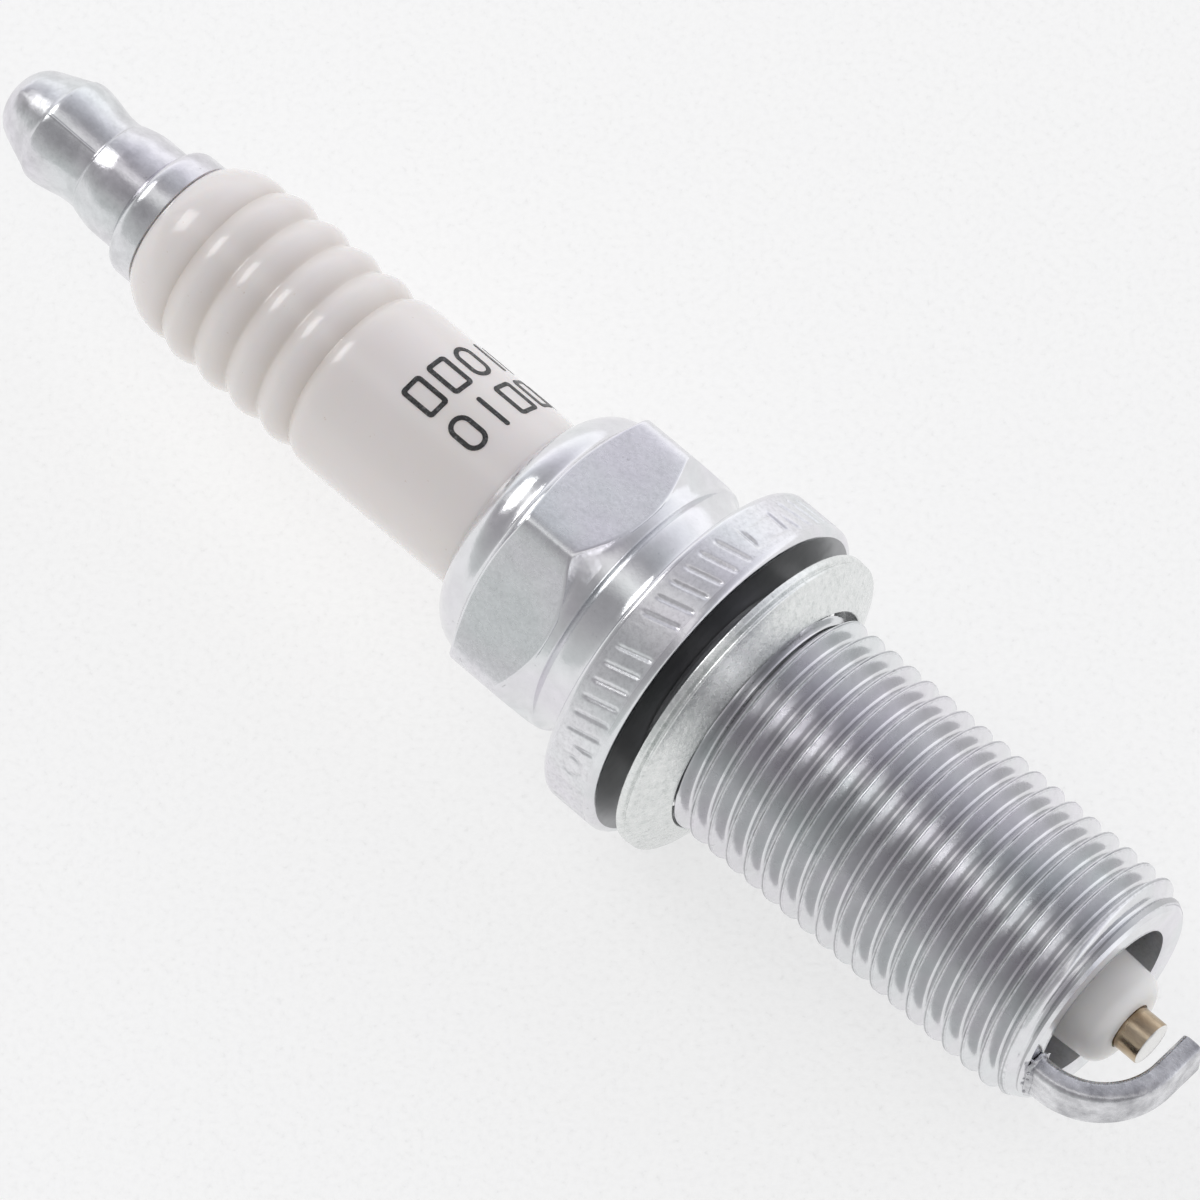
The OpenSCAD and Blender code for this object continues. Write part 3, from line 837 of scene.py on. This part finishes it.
def build_stud(material):
    """From the shank's inner end to the collar, and out along the thread."""
    loft = Loft()
    columns = [6 * k for k in range(60)]
    loft.rings([(-3.6, 0.3), (-3.6, 1.4), (-3.7, 1.5), (-7.6, 1.5), (-7.9, 1.85)], columns)
    loft.rings([(COLLAR_FOOT, 1.85), (COLLAR_FOOT, 3.8), (-39.0, COLLAR_R), (-40.05, COLLAR_R)], columns)
    loft.rings(arc((-40.1, 3.33), (-0.72, 0.6), 5, 85, 7) + [(-40.85, 2.9), (-40.85, 1.8)], columns)
    rows = 120
    for k in range(rows + 1):
        x = STUD_FROM + (STUD_TO - STUD_FROM) * k / rows
        tapered = STUD_ROOT_R + 0.9 * min(max(0, STUD_FROM - x), max(0, x - STUD_TO + 0.1))
        ring = []
        for a in columns:
            off_root = abs((x / STUD_PITCH - a / 360) % 1 - 0.5) * 2
            ring.append((x, min(STUD_ROOT_R + 0.36 * min(1, max(0, 1.25 * off_root - 0.12)), tapered)))
        loft.ring(ring, columns)
    loft.rings([(-48.2, 1.6), (-48.36, 1.45), (-48.4, 1.3), (-48.4, 0.3)], columns)
    loft.cap()
    return finished("terminal_stud_body", loft.mesh, material, sharp=38)


terminal_steel = plated_steel("plated_terminal", (0.78, 0.78, 0.80), 0.21, 0.00003, 0.82)
stud = build_stud(terminal_steel)
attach(stud, "plug")
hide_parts("terminal_stud")

# ------------------------------
# Terminal nut. The push-on lead terminal, cold formed and plated, screwed on the stud: a body, a
# waist that the cap's spring closes on, a rounded head and a cone. A flash line runs along it.
NUT_FOOT, NUT_BORE_R = -40.89, 2.05
# The turn of the flash line and its half width in degrees, and its height
SEAM_CLOCK, SEAM_HALF_WIDTH, SEAM_HEIGHT = HEX_CLOCK - 3, 1.5, 0.035


def smooth_outline(points, steps):
    """A Catmull-Rom curve through (x, r) points."""
    padded = [points[0], *points, points[-1]]
    result = []
    for a, b, c, d in zip(padded, padded[1:], padded[2:], padded[3:]):
        for k in range(steps):
            t = k / steps
            result.append(tuple(
                0.5 * (2 * b[i] + (c[i] - a[i]) * t + (2 * a[i] - 5 * b[i] + 4 * c[i] - d[i]) * t * t
                       + (3 * b[i] - a[i] - 3 * c[i] + d[i]) * t ** 3)
                for i in (0, 1)))
    return [*result, points[-1]]


def build_nut(material):
    """From its foot over the waist and the head to the cone's point, then the threaded bore."""
    outline = [(NUT_FOOT, NUT_BORE_R), (NUT_FOOT, 2.98), (-40.96, 3.10), (-41.1, 3.17)]
    outline += smooth_outline([
        (-41.15, 3.175), (-42.4, 3.175), (-43.0, 3.15), (-43.6, 3.03), (-44.1, 2.9),
    ], 4)
    outline += [(-44.16, 2.87), (-44.2, 2.82)]
    outline += smooth_outline([
        (-44.25, 2.80), (-44.9, 2.80), (-45.4, 2.85), (-46.1, 3.0), (-46.8, 3.13),
        (-47.2, 3.175), (-47.5, 3.16), (-47.7, 3.11),
    ], 5)
    outline += [(-47.78, 3.05), (-47.95, 2.97), (-48.9, 2.60), (-49.8, 2.24)]
    outline += smooth_outline([(-50.1, 2.08), (-50.5, 1.72), (-50.8, 1.2), (-50.95, 0.6), (-51.0, 0.15)], 4)
    loft = Loft()
    columns = [5 * k + HEX_CLOCK for k in range(72)]
    columns = sorted(columns + [SEAM_CLOCK + s for s in (-2.2, -1.4, -0.7, 0.7, 1.4, 2.2)])
    for x, r in outline:
        seam = SEAM_HEIGHT if -47.7 < x < -44.4 else 0
        away = [abs((a - SEAM_CLOCK + 180) % 360 - 180) for a in columns]
        loft.ring([(x, r + seam * max(0, 1 - off / SEAM_HALF_WIDTH)) for off in away], columns)
    loft.mesh.faces.new(loft.last)
    loft.last = None
    loft.rings([(NUT_FOOT, NUT_BORE_R), (-48.4, NUT_BORE_R), (-48.6, 1.9), (-48.6, 0.3)], columns)
    loft.mesh.faces.new(loft.last)
    return finished("terminal_nut_body", loft.mesh, material, sharp=38)


nut = build_nut(terminal_steel)
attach(nut, "terminal_nut")
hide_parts("terminal_nut")

# ------------------------------
# Gasket. A strip of plated sheet steel rolled and folded on itself into a springy ring, with a
# conical face. The fold shows as a groove round its edge. It hangs loose round the relief.
GASKET_BACK, GASKET_BORE_R = 1.24, 7.05


def build_gasket(material):
    """From the bore over the back and the grooved edge, and down the cone to the bore again."""
    outline = [(1.75, 7.06), (1.36, 7.12), (GASKET_BACK, 7.35), (GASKET_BACK, 9.15)]
    outline += arc((1.38, 9.28), (0.14, 0.15), -80, 0, 5)
    outline += [(1.5, 9.44), (1.6, 9.42), (1.66, 9.36), (1.7, 9.27), (1.75, 9.24), (1.8, 9.28), (1.85, 9.36)]
    outline += arc((1.96, 9.26), (0.11, 0.14), -30, 75, 5)
    outline += [(2.12, 9.14), (2.25, 8.86), (2.5, 8.36), (2.75, 7.89), (2.93, 7.53), (3.03, 7.33)]
    outline += [(3.09, 7.22), (3.12, 7.14), (3.09, 7.085), (2.98, 7.06)]
    outline += [(2.6, GASKET_BORE_R), (2.2, GASKET_BORE_R)]
    loft = Loft()
    columns = [2.5 * k for k in range(144)]
    for x, r in outline:
        waves = [noise.noise(round_spot(r * 0.6, a, 2.2).yzx) for a in columns]
        faces = loft.ring([(x + 0.02 * wave, r + 0.012 * wave) for wave in waves], columns)
        # The back face towards the flange and the bore carry painted shade, for the dark gap and the hollow
        if x < GASKET_BACK + 0.02 or r < GASKET_BORE_R + 0.03:
            for face in faces:
                face[loft.dull] = 0.75
    loft.close()
    return finished("gasket_ring", loft.mesh, material, sharp=40)


def gasket_steel():
    material, tree, surface = shader("gasket_steel", ("Metallic", 1.0))
    mottled = ramp(tree, noise_texture(tree, 2400, 6.0, 0.75), [
        (0.30, (0.60, 0.62, 0.61)), (0.45, (0.78, 0.80, 0.79)), (0.65, (0.88, 0.89, 0.88)),
    ])
    # Painted shade: the face layer blends the gasket towards the dark grey
    link(tree, mix(tree, face_layer(tree, "dull"), mottled, BARE_STEEL), surface["Base Color"])
    link(tree, uneven(tree, 2200, 4.0, 0.6, 0.17, 0.34), surface["Roughness"])
    link(tree, grain(tree, 3400, 5.0, 0.7, 0.00004, 0.5), surface["Normal"])
    return material


gasket = build_gasket(gasket_steel())
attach(gasket, "gasket")
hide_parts("gasket")

# ------------------------------
# Centre electrode. A nickel-alloy cup drawn over a copper core and turned to size. Its flange
# rests in the ceramic's counterbore, and its square-cut tip stands 1.5 mm out of the nose.
CENTRE_R, CENTRE_TIP = 1.27, 29.8


def build_centre_electrode(material):
    """From the tip's face back to the flange's end, then the hollow that holds the copper core."""
    loft = Loft()
    tip = [(CENTRE_TIP, 0.15), (CENTRE_TIP, 0.7), (CENTRE_TIP, CENTRE_R - 0.09)]
    tip += [(29.78, CENTRE_R - 0.035), (29.71, CENTRE_R), (29.2, CENTRE_R), (28.4, CENTRE_R)]
    stem = [(28.2, CENTRE_R - 0.02), (20, CENTRE_R), (11.9, CENTRE_R), (11.2, 1.97), (10.2, 1.97)]
    hollow = [(10.2, 0.66), (28.4, 0.66), (28.9, 0.05)]
    loft.rings(tip + stem + hollow, [5 * k for k in range(72)])
    loft.cap()
    return finished("centre_electrode_body", loft.mesh, material, sharp=38)


def nickel_alloy(name, dark, light, gloss, lay, pitted, cut_at):
    """Drawn metal: lay stretches its marks, pitted is their depth, and beyond cut_at it is cut bright."""
    material, tree, surface = shader(name, ("Metallic", 1.0))
    tone = ramp(tree, noise_texture(tree, 900, 4.0, 0.6, lay), [(0.3, dark), (0.7, light)])
    x = add_node(tree, "ShaderNodeSeparateXYZ", [(0, object_coordinates(tree))]).outputs[0]
    cut = spread(tree, x, cut_at - 0.03 * MM, cut_at - 0.01 * MM)
    link(tree, mix(tree, cut, tone, (0.86, 0.85, 0.83, 1)), surface["Base Color"])
    link(tree, uneven(tree, 1500, 4.0, 0.65, gloss - 0.06, gloss + 0.1), surface["Roughness"])
    link(tree, bump(tree, noise_texture(tree, 2600, 4.0, 0.6, lay), pitted), surface["Normal"])
    return material


centre = build_centre_electrode(nickel_alloy(
    "nickel_alloy", (0.30, 0.22, 0.14), (0.72, 0.60, 0.44), 0.2, (0.3, 1, 1), 0.00001, CENTRE_TIP * MM))
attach(centre, "plug")
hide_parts("centre_electrode")

# ------------------------------
# Ground electrode. A flat nickel-alloy wire with rounded edges, butt welded on the end of the
# shell and bent over the centre electrode. The weld leaves a rough bead and spatter at its root.
STRAP_W, STRAP_T, STRAP_CLOCK = 2.7, 1.3, 86
STRAP_IN_R, BEND_R, PAST_AXIS = 4.72, 3.6, 1.1
STRAP_FACE = CENTRE_TIP + 1.1


def strap_path():
    """Middle line of the strap as (x, distance out from the axis, direction) with even steps."""
    middle = STRAP_IN_R + STRAP_T / 2
    bend = BEND_R + STRAP_T / 2
    cx, cr = STRAP_FACE - BEND_R, STRAP_IN_R - BEND_R
    points = [(REACH - 0.1, middle, 0), (REACH + 0.25, middle, 0), (cx - 0.02, middle, 0)]
    for k in range(1, 25):
        t = math.radians(90 * k / 24)
        points.append((cx + bend * math.sin(t), cr + bend * math.cos(t), math.degrees(t)))
    tip = -PAST_AXIS
    for share in (0.3, 0.6, 0.9):
        points.append((points[-1][0], cr + (tip - cr) * share, 90))
    points.append((points[-1][0], tip + 0.06, 90))
    return points


def strap_section(inset=0.0):
    """Points of the rounded flat section as (across, thick) from its middle."""
    corner, steps = 0.42, 6
    points = []
    for sx, sy, start in ((1, 1, 0), (-1, 1, 90), (-1, -1, 180), (1, -1, 270)):
        for k in range(steps + 1):
            t = math.radians(start + 90 * k / steps)
            points.append((
                sx * (STRAP_W / 2 - corner) + (corner - inset) * math.cos(t),
                sy * (STRAP_T / 2 - corner) + (corner - inset) * math.sin(t),
            ))
    return points


def strap_point(x, out, heading, across, thick):
    """A point of the strap: across its width and out from its middle line."""
    t = math.radians(heading)
    px, pr = x + thick * math.sin(t), out + thick * math.cos(t)
    a = math.radians(STRAP_CLOCK)
    side = Vector((0, math.cos(a), math.sin(a)))
    root = Vector((0, -math.sin(a), math.cos(a)))
    return (Vector((px, 0, 0)) + root * pr + side * across) * MM


def build_strap(material):
    mesh = bmesh.new()
    path = strap_path()
    rings = [[mesh.verts.new(strap_point(*at, u, v)) for u, v in strap_section()] for at in path]
    x, out, heading = path[-1]
    rings.append([mesh.verts.new(strap_point(x, -PAST_AXIS, heading, u, v)) for u, v in strap_section(0.07)])
    for one, two in zip(rings, rings[1:]):
        for k in range(len(one)):
            n = (k + 1) % len(one)
            mesh.faces.new((one[k], one[n], two[n], two[k]))
    mesh.faces.new(rings[0])
    mesh.faces.new(rings[-1])
    return finished("ground_electrode_strap", mesh, material, sharp=40)


def build_weld(material):
    """The upset bead round the root: a lumpy ring that follows the strap's section."""
    mesh = bmesh.new()
    middle, steps = STRAP_IN_R + STRAP_T / 2, 8
    columns = []
    for u, v in strap_section():
        away = Vector((u / (STRAP_W / 2), v / (STRAP_T / 2))).normalized()
        column = []
        for s in range(steps + 1):
            lump = 1 + 0.5 * noise.noise(Vector((u * 1.7 + 3.1, v * 1.7, s * 0.5)))
            spread_out = 0.42 * math.sin(math.pi * s / steps) * lump - 0.04
            lift = 0.5 * s / steps * lump - 0.06
            across, thick = u + away.x * spread_out, v + away.y * spread_out * 0.45
            column.append(mesh.verts.new(strap_point(REACH + lift, middle, 0, across, thick)))
        columns.append(column)
    for k, column in enumerate(columns):
        after = columns[(k + 1) % len(columns)]
        for s in range(steps):
            mesh.faces.new((column[s], after[s], after[s + 1], column[s + 1]))
    mesh.faces.new([column[0] for column in columns])
    mesh.faces.new([column[-1] for column in columns])
    return finished("ground_electrode_weld", mesh, material, sharp=50)


def weld_spatter():
    """Scatters small beads of spatter over the weld, from a fixed seed."""
    tree, given, result = new_tree("weld_spatter", [
        ("Bead size", 0.17 * MM),
        ("Apart", 0.46 * MM), ("Per square metre", 9000000.0),
        ("Smallest", 0.45), ("Largest", 1.15),
        ("Seed", 7),
    ])
    spots = add_node(tree, "GeometryNodeDistributePointsOnFaces", [
        ("Mesh", given["Geometry"]), ("Distance Min", given["Apart"]),
        ("Density Max", given["Per square metre"]), ("Seed", given["Seed"]),
    ], distribute_method="POISSON")
    bead = add_node(tree, "GeometryNodeMeshIcoSphere", [("Radius", given["Bead size"]), ("Subdivisions", 3)])
    size = add_node(tree, "FunctionNodeRandomValue", [
        (2, given["Smallest"]), (3, given["Largest"]), ("Seed", given["Seed"]),
    ], data_type="FLOAT").outputs[1]
    beads = add_node(tree, "GeometryNodeInstanceOnPoints", [
        ("Points", spots.outputs[0]), ("Instance", bead.outputs[0]), ("Scale", size),
    ])
    both = tree.nodes.new("GeometryNodeJoinGeometry")
    link(tree, given["Geometry"], both.inputs[0])
    link(tree, beads.outputs[0], both.inputs[0])
    end_tree(tree, both.outputs[0], given, result)
    return tree


strap_metal = nickel_alloy(
    "strap_nickel", (0.42, 0.42, 0.44), (0.84, 0.84, 0.86), 0.24, (1, 1, 1), 0.000028, 1.0)
strap = build_strap(strap_metal)
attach(strap, "plug")
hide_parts("ground_electrode")
weld = build_weld(strap_metal)
apply_tree(weld, weld_spatter(), {"Material": strap_metal})
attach(weld, "plug")

# ------------------------------
# Pieces inside the shell and the ceramic. They keep their shape from the frame: the copper core,
# the fused glass seals with the resistor between them, the seal washer, and the talc packing
# between its two wire rings.


def plain_inner(name, dark, light, metallic, roughness, scale):
    material, tree, surface = shader(name, ("Metallic", metallic))
    tone = ramp(tree, noise_texture(tree, scale, 5.0, 0.65), [(0.3, dark), (0.7, light)])
    link(tree, tone, surface["Base Color"])
    link(tree, uneven(tree, scale * 2, 3.0, 0.6, roughness - 0.08, roughness + 0.08), surface["Roughness"])
    link(tree, grain(tree, scale * 3, 4.0, 0.6, 0.00004, 0.5), surface["Normal"])
    return material


copper = (0.55, 0.24, 0.14), (0.80, 0.45, 0.30), 1.0, 0.3, 900
glass = (0.05, 0.055, 0.06), (0.22, 0.22, 0.24), 0.3, 0.4, 1800
mild_steel = (0.34, 0.34, 0.34), (0.56, 0.56, 0.56), 1.0, 0.42, 1500
inner_finishes = {
    "centre_electrode_copper_core": plain_inner("copper", *copper),
    "lower_glass_seal": plain_inner("lower_fused_glass", *glass),
    "upper_glass_seal": plain_inner("upper_fused_glass", *glass),
    "resistor": plain_inner("resistor_glass", (0.03, 0.03, 0.03), (0.12, 0.12, 0.13), 0.0, 0.6, 2400),
    "inner_seal_washer": plain_inner("seal_washer_steel", *mild_steel),
    "lower_packing_ring": plain_inner("lower_ring_steel", *mild_steel),
    "upper_packing_ring": plain_inner("upper_ring_steel", *mild_steel),
    "talc_packing": plain_inner("pressed_talc", (0.66, 0.64, 0.58), (0.86, 0.84, 0.79), 0.0, 0.85, 3000),
}
for node_name, finish in inner_finishes.items():
    piece = frame["nodes"][node_name]
    for material_slot in piece.material_slots:
        material_slot.material = finish
